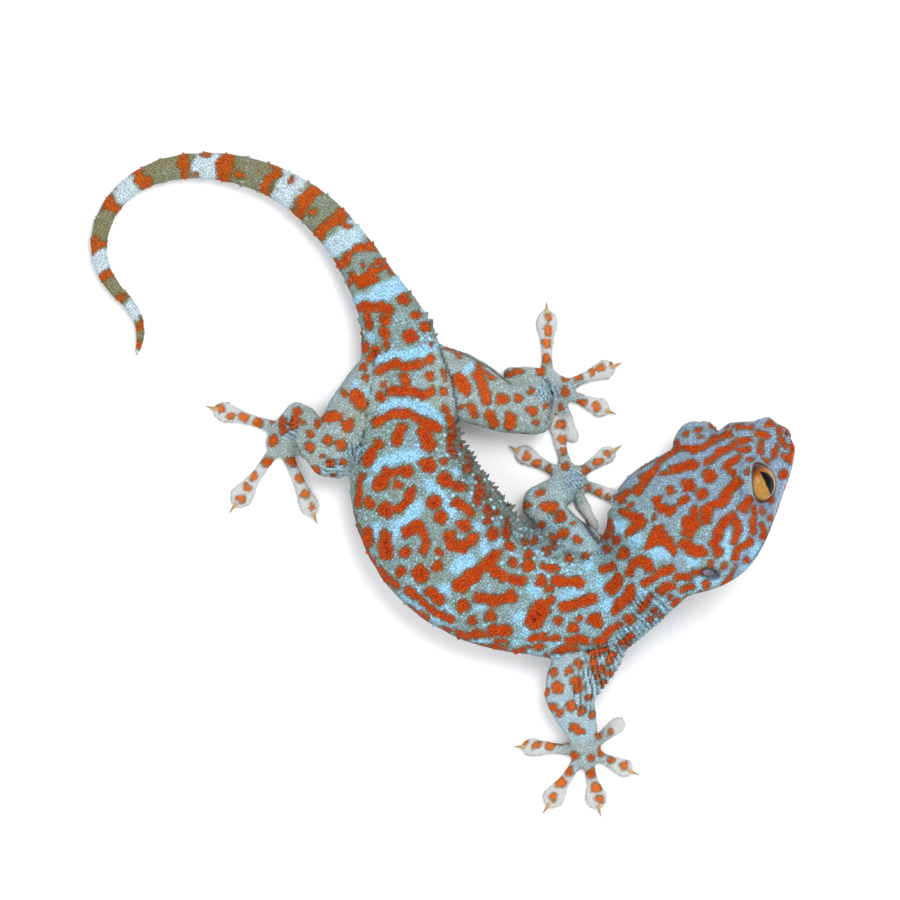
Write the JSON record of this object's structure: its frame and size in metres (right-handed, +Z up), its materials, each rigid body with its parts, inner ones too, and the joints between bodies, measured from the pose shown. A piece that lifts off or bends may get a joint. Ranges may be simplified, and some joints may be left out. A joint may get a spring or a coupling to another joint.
{
  "type": "tokay gecko",
  "caption": "Life-size still model of a tokay gecko lying on a surface, its body curved, head turned and rolled to one side, limbs spread and tail curled round.",
  "frame": {"origin": "middle of the bounding box in plan, at the level of the floor that the animal lies on", "axes": "+Z up from the floor; +Y the way from the head end towards the tail, up in the plan view; +X to the right in that view, where the head is. The hips face -Y and the snout points to +X and +Y"},
  "size_m": [0.1846, 0.1746, 0.0313],
  "materials": {
    "skin": "granular blue-grey scales with orange spots, pale bars and low tubercles",
    "eye": "wet, glossy, orange-brown with a narrow dark pupil",
    "claw": "smooth horn, yellow-brown"
  },
  "bodies": {
    "root": {"head": "skin", "jaw": "skin", "neck": "skin", "torso_front": "skin", "torso_middle": "skin", "torso_rear": "skin", "hips": "skin", "tail_1": "skin", "tail_2": "skin", "tail_3": "skin", "tail_4": "skin", "tail_5": "skin", "fore_right_upper": "skin", "fore_right_lower": "skin", "fore_right_foot": "skin", "fore_left_upper": "skin", "fore_left_lower": "skin", "fore_left_foot": "skin", "hind_left_upper": "skin", "hind_left_lower": "skin", "hind_left_foot": "skin", "hind_right_upper": "skin", "hind_right_lower": "skin", "hind_right_foot": "skin", "eye_left": "eye", "eye_right": "eye"}
  },
  "joints": []
}
